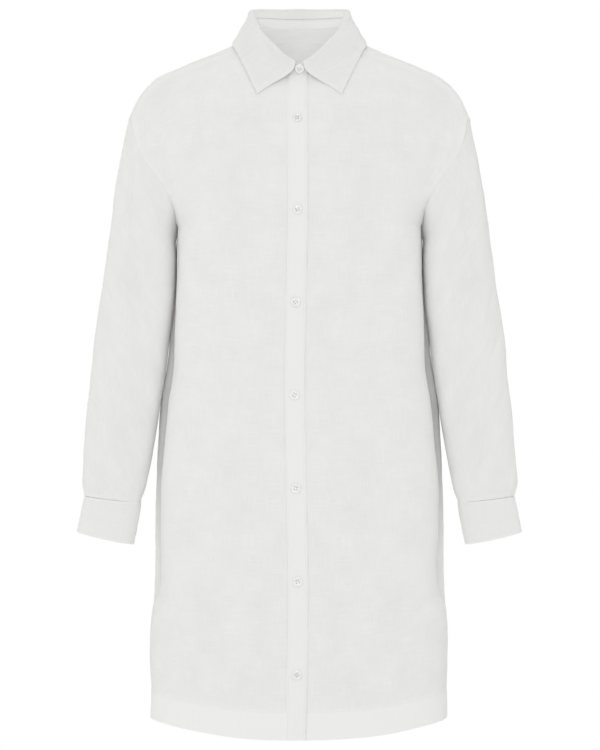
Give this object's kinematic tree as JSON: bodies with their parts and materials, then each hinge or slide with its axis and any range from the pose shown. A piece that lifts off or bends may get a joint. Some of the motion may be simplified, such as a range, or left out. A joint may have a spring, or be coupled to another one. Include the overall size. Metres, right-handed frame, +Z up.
{
  "type": "shirt dress",
  "caption": "Long-sleeved linen shirt dress in its worn hollow form, with a pointed collar, buttoned front placket, dropped shoulders, cuffs, side slits and a curved hem.",
  "frame": {"origin": "centre of the neck at the height where the collar meets the shoulders, where the wearer holds the dress up", "axes": "+Z up, -Y towards the front, +X towards the wearer's left side"},
  "size_m": [0.5858, 0.2863, 0.9599],
  "materials": {
    "linen": "matt woven linen, one ply",
    "plied_linen": "matt woven linen, faced plies",
    "shell_button": "pearly shell, softly glossy"
  },
  "bodies": {
    "root": {"front_right": "linen", "front_left": "linen", "back": "linen", "yoke": "linen", "placket": "plied_linen", "under_placket": "plied_linen", "stand": "plied_linen", "collar": "plied_linen", "sleeve_left": "linen", "cuff_left": "plied_linen", "vent_left": "plied_linen", "cuff_button_left": "shell_button", "sleeve_right": "linen", "cuff_right": "plied_linen", "vent_right": "plied_linen", "cuff_button_right": "shell_button", "button_stand": "shell_button", "button_1": "shell_button", "button_2": "shell_button", "button_3": "shell_button", "button_4": "shell_button", "button_5": "shell_button", "button_6": "shell_button", "button_7": "shell_button"}
  },
  "joints": []
}
